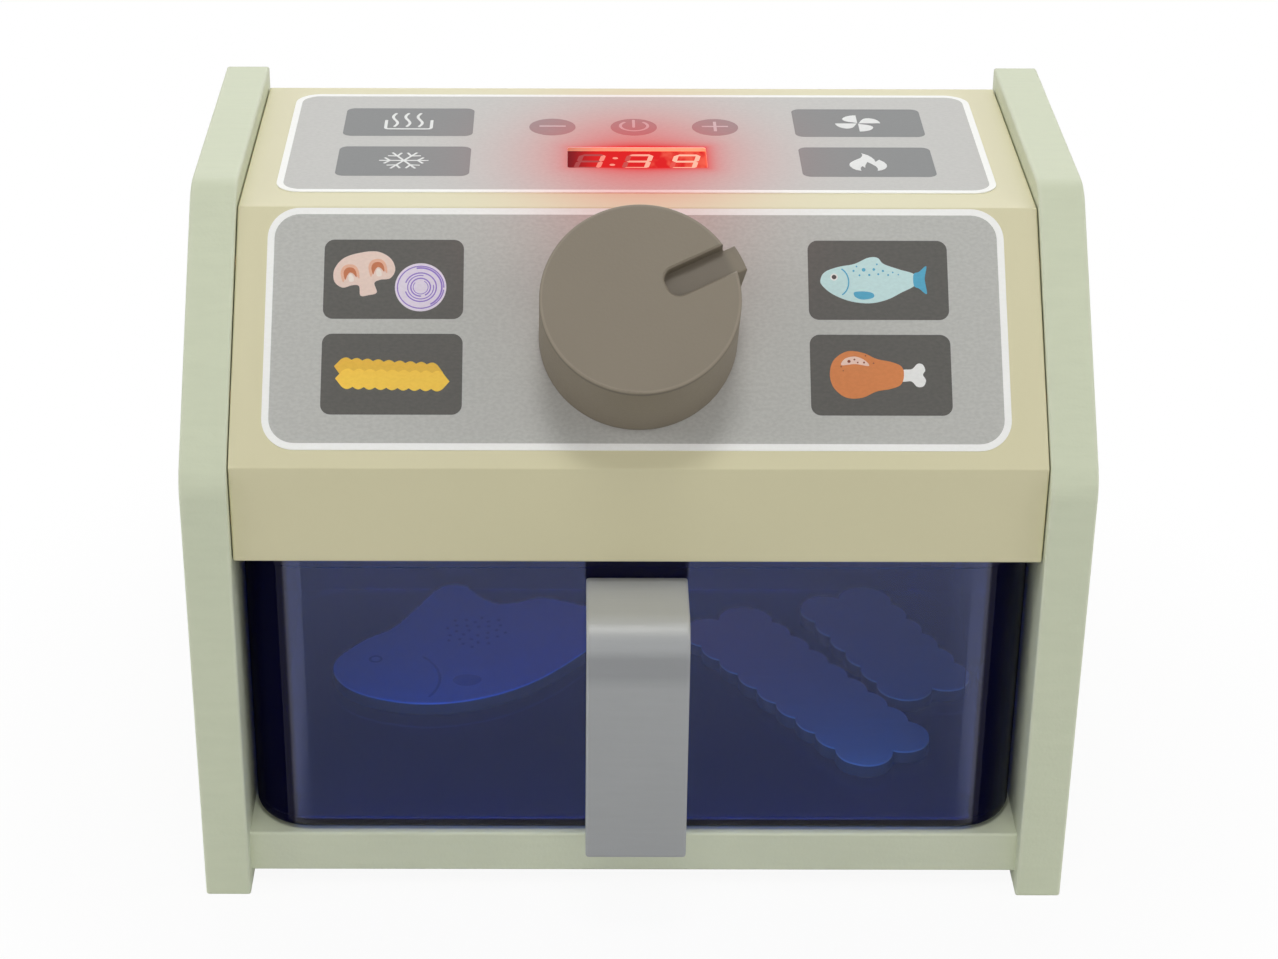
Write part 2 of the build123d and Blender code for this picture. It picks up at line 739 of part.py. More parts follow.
def drawer_handle():
    """The handle: a short arm out of the drawer's front, bent down into a flat grip."""
    back = handle_front + handle_thickness
    corners = [(handle_front, handle_bottom), (handle_front, handle_top), (drawer_front, handle_top),
               (drawer_front, handle_top - handle_thickness), (back, handle_top - handle_thickness),
               (back, handle_bottom)]
    radii = [1.0, handle_bend, 0, 0, 3, 1.0]
    grip = side_profile(corners, radii, -handle_half_width, handle_half_width)
    sides = grip.faces().filter_by(Axis.X).edges().filter_by(lambda edge: edge.center().Y < drawer_front - 0.01)
    grip = fillet(sides, 0.8)
    for x in handle_screw_places():
        grip -= rod_along_y(x, drawer_front - handle_screw_grip - 0.5, drawer_front + 1, handle_screw_z,
                            handle_screw_radius)
    return grip


def handle_washers():
    """Washers under the heads of the handle screws, inside the drawer."""
    inside = drawer_front + drawer_wall
    return [rod_along_y(x, inside, inside + handle_washer, handle_screw_z, 4.0)
            - rod_along_y(x, inside - 1, inside + 2, handle_screw_z, handle_screw_radius + 0.1)
            for x in handle_screw_places()]


def handle_screws():
    """Pan-head screws from inside the drawer into the handle's arm."""
    head_y = drawer_front + drawer_wall + handle_washer + handle_screw_head
    length = head_y - drawer_front + handle_screw_grip
    return [screw_along_y(x, handle_screw_z, head_y, length, handle_screw_radius, 2.9, handle_screw_head,
                          flush=False) for x in handle_screw_places()]


def lay_food(outline, x, y, turn):
    """Cuts a play food from thin board and lays it on the drawer's floor."""
    piece = extrude(outline, food_thickness)
    return Pos(x, y, drawer_floor + food_gap) * Rot(0, 0, turn) * piece


def play_fish():
    """A flat fish, drawn from its nose along +X, with its back fin towards +Y."""
    nose, fin_tip, back_root, belly_root = (-0.3, 0.6), (50.6, 35.5), (84, 11), (84, -5)
    back = Spline(nose, (2.4, 6.8), (9.2, 12.4), (14.7, 15.6), (21.2, 18.0), (27.1, 22.5), (37.0, 32.3),
                  (45.3, 38.0), fin_tip)
    loin = Spline(fin_tip, (51.9, 30.2), (56.3, 22.9), (62.4, 21.2), (68.9, 21.8), (77.1, 16.3), back_root)
    tail = Polyline(back_root, (96, 13), (91, 2), (95, -9), belly_root)
    belly = Spline(belly_root, (72.5, -11.8), (59.5, -19.9), (46.3, -25.1), (34.5, -26.7), (21.5, -24.9),
                   (9.8, -18.8), (2.0, -10.3), nose)
    return lay_food(make_face(back + loin + tail + belly), *fish_place)


def play_chip(x, y, turn, scallops):
    """A crinkle-cut chip: an oblong with shallow scallops along its sides and two lobes at each end."""
    half_length, half_across = scallops * chip_scallop / 2, chip_across / 2
    corners = [(chip_scallop * i - half_length, half_across) for i in range(scallops + 1)] + [(half_length, 0)]
    corners += [(-x, -y) for x, y in corners]
    edges = Curve()
    for start, end in zip(corners, corners[1:] + corners[:1]):
        chord = Vector(end[0] - start[0], end[1] - start[1])
        bulge = chip_scallop_rise if abs(chord.X) > abs(chord.Y) else chip_end_rise
        outward = Vector(-chord.Y, chord.X).normalized() * bulge
        middle = Vector(*start) + chord * 0.5 + outward
        edges += ThreePointArc(start, middle, end)
    return lay_food(make_face(edges), x, y, turn)


def pieces():
    """Every node of the toy, by name."""
    fascia, control, top = shell_boards()
    holes = dowel_holes()
    lit, dark = digit_segments()
    nodes = {
        "side_panel_left": side_panel(-1) - holes,
        "side_panel_right": side_panel(1) - holes,
        "base_board": screw_pilots(base_board() - holes),
        "shelf_board": screw_pilots(shelf_board() - holes),
        "fascia_board": fascia - holes,
        "control_board": finish_control_board(control - holes),
        "top_board": finish_top_board(top - holes),
        "back_board": back_panel(),
        "dowels": group(dowels()),
        "back_board_screws": group(back_screws()),
        "top_film": top_film(),
        "control_film": slope_film(),
        "timer_module": timer_module(lit + dark),
        "timer_lit_bars": group(lit),
        "timer_dark_bars": group(dark),
        "circuit_board": circuit_board(),
        "circuit_spacers": group(circuit_spacers()),
        "circuit_screws": group(circuit_screws()),
        "controller_chip": controller_chip(),
        "tact_switches": group([tact_switch(x) for x in key_places()]),
        "battery_box": battery_box(),
        "battery_door": battery_door(),
        "battery_door_screw": battery_door_screw(),
        "battery_box_screws": group(battery_box_screws()),
        "battery_cells": group([battery_cell(row) for row in (-1, 0, 1)]),
        "battery_contacts": group(battery_contacts()),
        "battery_leads": group(battery_leads()),
        "spindle_bush": spindle_bush(),
        "thrust_washer": thrust_washer(),
        "knob": knob(),
        "knob_spindle": knob_spindle(),
        "knob_screw": knob_screw(),
        "drawer_bin": drawer_bin(),
        "drawer_handle": drawer_handle(),
        "handle_washers": group(handle_washers()),
        "handle_screws": group(handle_screws()),
        "play_fish": play_fish(),
        "play_chip_near": play_chip(*near_chip_place, near_chip_scallops),
        "play_chip_far": play_chip(*far_chip_place, far_chip_scallops),
    }
    for name, x in zip(("key_minus", "key_power", "key_plus"), key_places()):
        nodes[name] = press_key(x)
    return nodes


os.makedirs("parts", exist_ok=True)
for name, shape in pieces().items():
    export_step(Pos(0, -footprint_middle, 0) * shape, f"parts/{name}.step")
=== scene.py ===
import json

import bmesh
import bpy
import numpy as np
from mathutils import Matrix, Vector


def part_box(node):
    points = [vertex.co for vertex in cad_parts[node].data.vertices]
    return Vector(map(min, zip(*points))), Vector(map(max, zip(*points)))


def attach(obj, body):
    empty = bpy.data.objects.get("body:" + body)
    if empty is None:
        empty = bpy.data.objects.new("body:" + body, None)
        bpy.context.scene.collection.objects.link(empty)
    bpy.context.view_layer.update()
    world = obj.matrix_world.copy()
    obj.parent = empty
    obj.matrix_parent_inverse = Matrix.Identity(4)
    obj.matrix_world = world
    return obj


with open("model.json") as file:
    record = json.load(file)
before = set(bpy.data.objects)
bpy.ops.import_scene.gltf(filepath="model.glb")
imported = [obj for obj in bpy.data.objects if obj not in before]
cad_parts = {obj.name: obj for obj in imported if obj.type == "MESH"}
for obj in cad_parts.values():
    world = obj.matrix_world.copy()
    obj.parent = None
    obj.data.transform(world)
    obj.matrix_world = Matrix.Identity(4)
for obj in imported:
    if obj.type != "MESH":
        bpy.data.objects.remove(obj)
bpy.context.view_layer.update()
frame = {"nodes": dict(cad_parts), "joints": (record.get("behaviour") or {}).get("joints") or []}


# Side panels and base board: 12 mm fibreboard, rounded at its arrises and sprayed in satin sage
# green. The paint keeps a faint streak across the sawn edges, and its colour is a little paler at the
# arrises as a painted highlight.
class Value:
    """A node's output. Sums, products and the like of values add the Math nodes that work them out."""

    def __init__(self, nodes, socket):
        self.nodes = nodes
        self.socket = socket

    def math(self, operation, *operands):
        return self.nodes.node("ShaderNodeMath", {"operation": operation}, dict(enumerate(operands)))

    def __add__(self, other):
        return self.math("ADD", self, other)

    def __sub__(self, other):
        return self.math("SUBTRACT", self, other)

    def __rsub__(self, other):
        return self.math("SUBTRACT", other, self)

    def __mul__(self, other):
        return self.math("MULTIPLY", self, other)

    def __truediv__(self, other):
        return self.math("DIVIDE", self, other)

    def __pow__(self, power):
        return self.math("POWER", self, power)

    def __abs__(self):
        return self.math("ABSOLUTE", self)

    def at_least(self, floor):
        return self.math("MAXIMUM", self, floor)

    def at_most(self, ceiling):
        return self.math("MINIMUM", self, ceiling)

    def power_of_e(self):
        return self.math("EXPONENT", self)

    def ramp(self, low, high):
        """0 below low, 1 above high, and a smooth step between them."""
        return self.nodes.node("ShaderNodeMapRange", {"interpolation_type": "SMOOTHSTEP"},
                               {"Value": self, "From Min": low, "From Max": high})

    __radd__ = __add__
    __rmul__ = __mul__


class Nodes:
    """A node tree to which one method adds any node."""

    def __init__(self, tree):
        self.tree = tree

    def node(self, kind, settings=None, inputs=None, output=0):
        """Adds a node: its settings first, then the value or the link of each socket."""
        made = self.tree.nodes.new(kind)
        for setting, value in (settings or {}).items():
            setattr(made, setting, value)
        for socket, value in (inputs or {}).items():
            self.feed(made.inputs[socket], value)
        return Value(self, made.outputs[output])

    def feed(self, socket, value):
        if isinstance(value, Value):
            self.tree.links.new(value.socket, socket)
        else:
            socket.default_value = value

    def mix(self, factor, first, second):
        """A colour from first, where the factor is 0, to second, where it is 1."""
        factor_socket, first_socket, second_socket, colour = 0, 6, 7, 2
        return self.node("ShaderNodeMix", {"data_type": "RGBA"},
                         {factor_socket: factor, first_socket: first, second_socket: second}, colour)


class Finish(Nodes):
    """A material: its Principled shader, with what is the same all over set on the shader's sockets."""

    def __init__(self, name, plain):
        self.material = bpy.data.materials.new(name)
        self.material.use_nodes = True
        super().__init__(self.material.node_tree)
        self.shader = self.tree.nodes["Principled BSDF"]
        self.paint(plain)
        self.place = self.node("ShaderNodeTexCoord", output="Object")
        self.x, self.y, self.z = (self.node("ShaderNodeSeparateXYZ", {}, {0: self.place}, axis)
                                  for axis in "XYZ")

    def paint(self, sockets):
        for socket, value in sockets.items():
            self.feed(self.shader.inputs[socket], value)

    def noise(self, per_metre, detail=2.0, stretch=(1, 1, 1)):
        """Soft noise from 0 to 1, so many swings to a metre; a stretch below 1 draws it out."""
        place = self.node("ShaderNodeMapping", {}, {"Vector": self.place, "Scale": stretch})
        return self.node("ShaderNodeTexNoise", {}, {"Vector": place, "Scale": per_metre, "Detail": detail})

    def relief(self, height, depth):
        """Roughens the surface by a height from 0 to 1, that many metres deep."""
        bump = self.node("ShaderNodeBump", {}, {"Height": height, "Distance": depth})
        self.paint({"Normal": bump})

    def cover(self, factor, shader):
        """Lays a second shader over the surface as it is so far, in full where the factor is 1."""
        surface = self.tree.nodes["Material Output"].inputs["Surface"]
        so_far = Value(self, surface.links[0].from_socket)
        self.feed(surface, self.node("ShaderNodeMixShader", {}, {0: factor, 1: so_far, 2: shader}))


def srgb(red, green, blue):
    """A screen colour, 0 to 255, as the linear values that sockets take."""
    screen = np.array([red, green, blue]) / 255
    linear = np.where(screen > 0.04045, ((screen + 0.055) / 1.055) ** 2.4, screen / 12.92)
    return (*linear.tolist(), 1.0)


def dress(finish, *nodes):
    """Gives CAD nodes a finish."""
    for node in nodes:
        for slot in frame["nodes"][node].material_slots:
            slot.material = finish.material


mm = 0.001
panel_middle = 109 * mm
panel_half_thickness = 6 * mm

sage = Finish("sage_paint", {"Specular IOR Level": 0.35})
coat = sage.noise(16, 3)
streak = sage.noise(420, 3, (0.22, 1, 1))
peel = sage.noise(1100, 2)
# Painted highlight: the arrises are set a little paler.
arris_highlight = abs(abs(sage.x) - panel_middle).ramp(panel_half_thickness - 1.3 * mm, panel_half_thickness)
sage_colour = sage.mix(coat * 0.4 + streak * 0.6, srgb(206, 213, 186), srgb(218, 224, 197))
sage.paint({"Base Color": sage.mix(arris_highlight * 0.35, sage_colour, srgb(224, 227, 206)),
            "Roughness": 0.5 + streak * 0.12})
sage.relief(streak * 0.7 + peel * 0.3, 0.2 * mm)
dress(sage, "side_panel_left", "side_panel_right", "base_board")


# Fascia, control board and top board: 9 mm fibreboard mitred along the creases, with the shelf
# behind them, all sprayed cream. A red emission on the paint round the timer stands in for its glow.
timer_low, timer_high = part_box("timer_module")
timer_middle = (timer_low + timer_high) / 2
timer_half = (timer_high - timer_low) / 2
label_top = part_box("top_film")[1].z


def timer_light(finish):
    """How much of the timer's glow a place is given: a bell curve over x and y; a rim round the
    window that falls to 1/e in each 2.4 mm; and the walls of the window, below its edge. Also how
    far right the place is, since the timer shines most on that side."""
    x = finish.x - timer_middle.x
    y = finish.y - timer_middle.y
    bell = ((x / (19.5 * mm)) ** 2 * -0.5 - (y / (25 * mm)) ** 2 * 0.5).power_of_e()
    beyond_x = (abs(x) - timer_half.x).at_least(0)
    beyond_y = (abs(y) - timer_half.y).at_least(0)
    distance = (beyond_x ** 2 + beyond_y ** 2) ** 0.5
    rightward = (x / timer_half.x).ramp(-1.1, 0.1)
    rim = (distance / (-2.4 * mm)).power_of_e() * (rightward * 0.6 + 0.4)
    wall = (label_top - finish.z).ramp(0.03 * mm, 0.1 * mm) * (1 - distance.ramp(0.2 * mm, 0.4 * mm))
    return bell, rim, wall, rightward


def redden(finish, colour):
    """Paints a colour, lets the window's walls shine, and lays the timer's red light over the rest."""
    bell, rim, wall, rightward = timer_light(finish)
    wall_glow = finish.mix(rightward, srgb(150, 30, 26), srgb(206, 92, 62))
    finish.paint({"Base Color": colour, "Emission Strength": 1.0,
                  "Emission Color": finish.mix(wall, (0, 0, 0, 1), wall_glow)})
    red_light = finish.node("ShaderNodeEmission", {}, {"Color": srgb(236, 40, 46)})
    finish.cover(((bell * 0.66 + rim * 0.4) * (1 - wall)).at_most(1), red_light)


cream = Finish("cream_paint", {"Specular IOR Level": 0.35})
coat = cream.noise(12, 3)
peel = cream.noise(900, 2)
redden(cream, cream.mix(coat, srgb(218, 212, 174), srgb(223, 217, 181)))
cream.paint({"Roughness": 0.42 + peel * 0.1})
cream.relief(peel, 0.02 * mm)
dress(cream, "fascia_board", "control_board", "top_board", "shelf_board")


# Back board: thin fibreboard, screwed on from behind. It is rolled with one coat of the same
# cream, so its nap shows.
rolled = Finish("rolled_cream_paint", {"Specular IOR Level": 0.3})
nap = rolled.noise(620, 4)
rolled.paint({"Base Color": rolled.mix(rolled.noise(20, 4), srgb(211, 204, 168), srgb(218, 211, 176)),
              "Roughness": 0.58 + nap * 0.14})
rolled.relief(nap, 0.06 * mm)
dress(rolled, "back_board")


# Dowels: turned beech pegs, glued into holes in the ends of the boards and in the side panels,
# which they hold together.
beech = Finish("beech", {"Roughness": 0.6})
grain = beech.noise(700, 4, (0.08, 1, 1))
beech.paint({"Base Color": beech.mix(grain, srgb(176, 132, 84), srgb(214, 176, 128))})
beech.relief(grain, 0.04 * mm)
dress(beech, "dowels")


# Screws, washers and contacts: zinc-plated steel with fine tool marks. They hold the back board,
# the circuit, the battery box, the knob and the handle, and carry the cells' current.
plated = Finish("plated_steel", {"Metallic": 1.0})
turning = plated.noise(3000, 2, (1, 0.1, 1))
plated.paint({"Base Color": plated.mix(turning, srgb(176, 177, 176), srgb(206, 206, 203)),
              "Roughness": 0.26 + turning * 0.14})
dress(plated, "back_board_screws", "circuit_screws", "battery_door_screw", "battery_box_screws",
      "battery_contacts", "thrust_washer", "knob_screw", "handle_washers", "handle_screws")


# Top label: a polycarbonate film with a fine grain, printed grey inside a white border, with four
# fields and three round touch places whose symbols are left white.
ink_depth = 0.03


def arc(centre, radii, start, end, count=24):
    """Points on an ellipse: its centre, plus its radii times the cosine and sine of each turn."""
    turn = np.radians(np.linspace(start, end, count))
    return np.column_stack((np.cos(turn), np.sin(turn))) * radii + centre


def rounded(centre, size, radius):
    """A rectangle whose corners are quarter circles."""
    reach = np.array(size) / 2 - radius
    quarters = [(1, 1, 0), (-1, 1, 90), (-1, -1, 180), (1, -1, 270)]
    return np.vstack([arc(centre + reach * (right, up), radius, turn, turn + 90, 10)
                      for right, up, turn in quarters])


def band(path, width):
    """A stroke of even width: the path shifted half a width to each side, with half circles between."""
    path = np.array(path, float)
    along = np.gradient(path, axis=0)
    along /= np.linalg.norm(along, axis=1, keepdims=True)
    side = np.column_stack((-along[:, 1], along[:, 0])) * width / 2
    first, last = (np.degrees(np.arctan2(along[end, 1], along[end, 0])) for end in (0, -1))
    return np.vstack((path - side, arc(path[-1], width / 2, last - 90, last + 90, 8),
                      (path + side)[::-1], arc(path[0], width / 2, first + 90, first + 270, 8)))


def smooth(points, count=8):
    """A closed curve through points: in each span a cubic whose slope at a point is half the step
    between that point's neighbours."""
    points = np.array(points, float)
    p0, p1, p2, p3 = (np.roll(points, shift, axis=0)[:, None] for shift in (1, 0, -1, -2))
    t = np.linspace(0, 1, count, endpoint=False)[None, :, None]
    curve = p1 + (p2 - p0) * t / 2 + (p0 - 2.5 * p1 + 2 * p2 - p3 / 2) * t ** 2
    curve += (1.5 * (p1 - p2) + (p3 - p0) / 2) * t ** 3
    return curve.reshape(-1, 2)


def turned(loop, degrees, move=(0, 0)):
    """A loop turned about the middle, then moved."""
    turn = np.radians(degrees)
    spin = np.array([[np.cos(turn), np.sin(turn)], [-np.sin(turn), np.cos(turn)]])
    return np.asarray(loop, float) @ spin + move


def printed(name, loops, place, layer, finish, body="housing"):
    """A printed area: loops in millimetres filled as a thin closed sheet, open where one loop lies in
    another, and laid on a surface in its layer of ink."""
    outline = bpy.data.curves.new(name, "CURVE")
    outline.dimensions = "2D"
    outline.fill_mode = "BOTH"
    outline.extrude = ink_depth / 2
    for loop in loops:
        spline = outline.splines.new("POLY")
        spline.points.add(len(loop) - 1)
        spline.points.foreach_set("co", np.insert(loop, (2, 2), (0, 1), axis=1).ravel())
        spline.use_cyclic_u = True
    pattern = bpy.data.objects.new(name, outline)
    mesh = bpy.data.meshes.new_from_object(pattern)
    bpy.data.objects.remove(pattern)
    mesh.name = name
    tidy = bmesh.new()
    tidy.from_mesh(mesh)
    bmesh.ops.remove_doubles(tidy, verts=tidy.verts, dist=1e-4)
    bmesh.ops.recalc_face_normals(tidy, faces=tidy.faces)
    tidy.to_mesh(mesh)
    tidy.free()
    in_layer = Matrix.Translation((0, 0, (layer - 0.5) * ink_depth))
    mesh.transform(place @ Matrix.Diagonal((mm, mm, mm, 1)) @ in_layer)
    mesh.materials.clear()
    mesh.materials.append(finish.material)
    sheet = bpy.data.objects.new(name, mesh)
    bpy.context.scene.collection.objects.link(sheet)
    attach(sheet, body)


def film_finish(name, dark, light):
    """A printed film: two close tones mottled by a fine grain, which also roughens it."""
    film = Finish(name, {"Specular IOR Level": 0.4})
    grain = film.noise(1500, 3, (0.6, 1, 1))
    redden(film, film.mix(grain.ramp(0.3, 0.7), srgb(*dark), srgb(*light)))
    film.paint({"Roughness": 0.42 + grain * 0.16})
    film.relief(grain, 0.03 * mm)
    return film


top_low, top_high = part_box("top_film")
top_middle = (top_low + top_high) / 2
top_label = Matrix.Translation((top_middle.x, top_middle.y, top_high.z))
top_size = np.array((188.4, 72.8))
top_corner = 6.7
border_width = 1.8
field_size = (35.4, 21.2)
field_x = 61.7
field_rows = (14.4, -14.8)
touch_x = (-22.3, 0, 22.3)
touch_row = 11.1

label_white = film_finish("label_white", (250, 250, 246), (253, 253, 250))
top_grey = film_finish("top_label_grey", (184, 183, 179), (191, 190, 186))
field_grey = film_finish("top_field_grey", (96, 98, 98), (102, 104, 104))
touch_grey = film_finish("touch_grey", (113, 109, 111), (120, 116, 118))
symbol_white = film_finish("symbol_white", (224, 225, 223), (230, 231, 229))
symbol_pink = film_finish("symbol_pink", (196, 188, 191), (203, 195, 198))
dress(label_white, "top_film")

window_place = ((timer_middle.x - top_middle.x) / mm, (timer_middle.y - top_middle.y) / mm)
window_size = (37.3, 15.2)
printed("top_label_ground", [rounded((0, 0), top_size - 2 * border_width, top_corner - border_width),
                             rounded(window_place, window_size, 0.8)], top_label, 1, top_grey)
top_fields = [rounded((x, y), field_size, 2.4) for x in (-field_x, field_x) for y in field_rows]
printed("top_label_fields", top_fields, top_label, 2, field_grey)
touch_discs = [arc((x, touch_row - 0.3), 6.35, 0, 352.5, 48) for x in touch_x]
printed("touch_places", touch_discs, top_label, 2, touch_grey)


def steam_dish():
    """Three S-shaped wisps, each a sine over its height, above an open tray."""
    height = np.linspace(6.4, -3.5, 25)
    sway = -0.7 * np.sin((6.4 - height) / 9.9 * 2 * np.pi)
    wisps = [band(np.column_stack((sway + x, height)), 0.8) for x in (-3.9, -0.5, 2.9)]
    corner_left = arc((-5.3, -4.4), 1.0, 180, 270, 8)
    corner_right = arc((5.2, -4.4), 1.0, 270, 360, 8)
    tray = np.vstack(([(-6.3, 1.0)], corner_left, corner_right, [(6.2, 1.0)]))
    return wisps + [band(tray, 0.85)]


def snowflake():
    """Six alike arms, each with one pair of slanting barbs near its end, as one outline."""
    upper = np.array([(6.6, 0.31), (4.31, 0.31), (5.44, 1.9), (4.94, 2.28), (3.54, 0.31)])
    lower = upper[::-1] * (1, -1)
    hub = [(0.54, 0.31)]
    return [np.vstack([turned(np.vstack((lower, upper, hub)), turn) for turn in range(0, 360, 60)])]


def fan():
    """Four pinwheel blades, each straight on one side and round on the other."""
    blade = np.array([(-0.08, 0.25), (-0.08, 6.2), (-1.0, 6.15), (-2.0, 5.8), (-3.0, 5.15),
                      (-3.65, 4.3), (-4.0, 3.4), (-3.9, 2.5), (-3.4, 1.75), (-2.5, 1.2), (-1.4, 0.8)])
    return [turned(blade, turn) - (0, 0.4) for turn in range(0, 360, 90)]


def flame():
    """A leaning tongue with a smaller one on its right, and a jagged hollow at its foot."""
    return [np.array([(-1.0, 6.3), (-0.8, 5.3), (-0.9, 4.3), (-1.5, 2.8), (-3.2, 1.1), (-4.3, -0.3),
                      (-4.8, -1.6), (-4.8, -3.0), (-4.2, -4.7), (-3.3, -5.8), (-2.0, -6.4), (-2.1, -5.0),
                      (-1.8, -3.6), (-1.4, -3.1), (-0.8, -4.3), (-0.6, -2.4), (0.1, 0.0), (1.1, -1.4),
                      (2.2, -3.3), (2.5, -4.8), (2.3, -6.5), (3.5, -5.9), (4.4, -5.0), (5.0, -3.6),
                      (5.1, -1.9), (4.6, -0.2), (3.4, 1.6), (2.3, 0.0), (2.1, 1.7), (1.5, 3.4),
                      (0.6, 4.9)])]


def sign_bar(x0, x1, half):
    """A bar along x between two ends, with square corners."""
    return np.array([(x0, -half), (x1, -half), (x1, half), (x0, half)])


plus_arm, plus_half = 3.6, 0.42
quarter = [(plus_arm, plus_half), (plus_half, plus_half), (plus_half, plus_arm)]
plus = np.vstack([turned(quarter, turn) for turn in (0, 90, 180, 270)])
power = [band(arc((0.1, 0.3), 3.75, -225, 45, 40), 0.8), band([(0, -0.6), (0, 2.0), (0, 4.6)], 0.8)]
minus = [sign_bar(-3.55, 3.65, 0.45)]
signs = [(minus, touch_x[0]), (power, touch_x[1]), ([plus], touch_x[2])]
printed("touch_signs", [loop + (x, touch_row + 0.25) for loops, x in signs for loop in loops],
        top_label, 3, symbol_pink)
symbols = [(steam_dish(), (-field_x, field_rows[0])), (snowflake(), (-field_x, field_rows[1] + 0.3)),
           (fan(), (field_x, field_rows[0])), (flame(), (field_x, field_rows[1]))]
printed("top_label_symbols", [loop + where for loops, where in symbols for loop in loops],
        top_label, 3, symbol_white)


# Control label: the same film on the sloping board, darker grey with near-black fields, each with
# a small picture of play food.
control_low, control_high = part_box("control_film")
slope_turn = Matrix.Rotation(np.radians(45), 4, "X")
film_half_thickness = 0.125 * mm
control_label = (Matrix.Translation((control_low + control_high) / 2) @ slope_turn
                 @ Matrix.Translation((0, 0, film_half_thickness)))
control_size = np.array((188.4, 65.3))
control_corner = 8.3
picture_size = (35.6, 21.6)
picture_rows = (13.05, -12.55)

control_grey = film_finish("control_label_grey", (182, 182, 177), (192, 192, 187))
picture_dark = film_finish("picture_field_dark", (76, 74, 70), (84, 82, 77))
dress(label_white, "control_film")
bush_hole = arc((0.5, -2.15), 7.1, 0, 352, 45)
control_ground = rounded((0, 0), control_size - 2 * border_width, control_corner - border_width)
printed("control_label_ground", [control_ground, bush_hole], control_label, 1, control_grey)
dark_fields = [rounded((x, y), picture_size, 2.6) for x in (-field_x, field_x) for y in picture_rows]
printed("picture_fields", dark_fields, control_label, 2, picture_dark)


def picture(name, layer, colour, loops, x, y, degrees=0):
    """One colour of a picture on the control label."""
    ink = film_finish(name, colour, [min(255, channel + 6) for channel in colour])
    printed(name, [turned(loop, degrees) + (x, y) for loop in loops], control_label, layer, ink)


mushroom_at = (-field_x - 7.5, picture_rows[0] + 1.6, 12)
mushroom = smooth([(-2.1, -5.8), (-2.0, -3.2), (-3.6, -2.6), (-6.2, -2.7), (-7.9, -0.6), (-7.3, 2.6),
                   (-4.4, 5.1), (0, 5.7), (4.4, 5.1), (7.3, 2.6), (7.9, -0.6), (6.2, -2.7), (3.6, -2.6),
                   (2.0, -3.2), (2.1, -5.8), (0, -6.1)])
gill = smooth([(-1.5, -1.4), (-1.6, 0.4), (-0.9, 1.5), (0.2, 1.7), (1.2, 1.2), (1.6, 0.0), (1.4, -1.3),
               (0.8, -0.2), (0, 0.3), (-0.8, -0.4)])
gill_light = smooth([(-0.6, -0.5), (0, 0.2), (0.6, -0.4), (0.6, -1.8), (-0.5, -1.8)])


def on_both_sides(loop, up):
    """A loop left and right of the mushroom's stem."""
    gill_x = 3.6
    return [loop + (side * gill_x, up) for side in (-1, 1)]


picture("mushroom_slice", 3, (231, 205, 192), [mushroom], *mushroom_at)
picture("mushroom_shade", 4, (228, 176, 148), on_both_sides(gill * 1.45, 0.7), *mushroom_at)
picture("mushroom_gills", 5, (194, 112, 70), on_both_sides(gill, 0.6), *mushroom_at)
picture("mushroom_gill_lights", 5, (240, 226, 216), on_both_sides(gill_light, 0.3), *mushroom_at)

onion_at = (-field_x + 6.9, picture_rows[0] - 2.2)
picture("onion_slice", 3, (228, 217, 231), [arc((0, 0), 6.55, 0, 353, 56)], *onion_at)
rings_drawn = ((5.9, 0, 352, 0.3), (5.4, 300, 160, 0.42), (4.0, 200, 320, 0.34),
               (3.3, 80, 290, 0.26), (2.5, 300, 330, 0.34), (1.9, 140, 280, 0.2))
onion_rings = [band(arc((0, 0), (radius, radius * 0.97), start, start + sweep, 48), width)
               for radius, start, sweep, width in rings_drawn]
picture("onion_rings", 4, (142, 112, 196), onion_rings, *onion_at)


def crinkle(length, across, waves, rise):
    """A crinkle-cut chip: straight sides that carry a row of half sine waves, with pointed ends."""
    along = np.linspace(-length / 2, length / 2, waves * 8 + 1)
    side = across / 2 + rise * np.abs(np.sin((along / length + 0.5) * waves * np.pi))
    upper = np.column_stack((along, side))[::-1]
    tip = np.array([(-length / 2 - across * 0.4, 0)])
    lower = upper[::-1] * (1, -1)
    return np.vstack((upper, tip, lower, -tip))


chips_at = (-field_x, picture_rows[1] - 0.3, 0)
chip_behind = turned(crinkle(24.5, 3.9, 9, 0.6), -3.5, (-0.8, 1.5))
chip_in_front = turned(crinkle(25.5, 4.2, 9, 0.65), -1.5, (0.2, -1.3))
picture("chip_behind", 3, (234, 184, 56), [chip_behind], *chips_at)
picture("chip_in_front", 4, (250, 203, 68), [chip_in_front], *chips_at)

fish_at = (field_x - 0.8, picture_rows[0] - 0.1, 0)
fish_body = smooth([(-13.9, 0.1), (-12.7, 2.3), (-9.2, 3.7), (-5.2, 4.5), (-1.6, 6.2), (0.8, 6.2),
                    (2.4, 4.5), (6.4, 3.0), (10.2, 1.6), (10.2, -1.2), (6.6, -3.3), (3.0, -5.2),
                    (-1.4, -6.2), (-6.2, -5.7), (-10.6, -3.9), (-13.3, -1.6)])
fish_tail = smooth([(9.9, 1.7), (11.3, 2.4), (13.2, 3.9), (12.7, 0.4), (13.1, -3.6), (11.2, -2.2),
                    (9.9, -1.4)])
fish_fin = smooth([(-5.3, -3.2), (-2.8, -3.0), (-0.6, -3.5), (-0.6, -4.7), (-3.4, -5.2), (-5.2, -4.4)])
gill_line = band(arc((-9.8, -0.4), (3.1, 3.9), -62, 62, 16), 0.36)
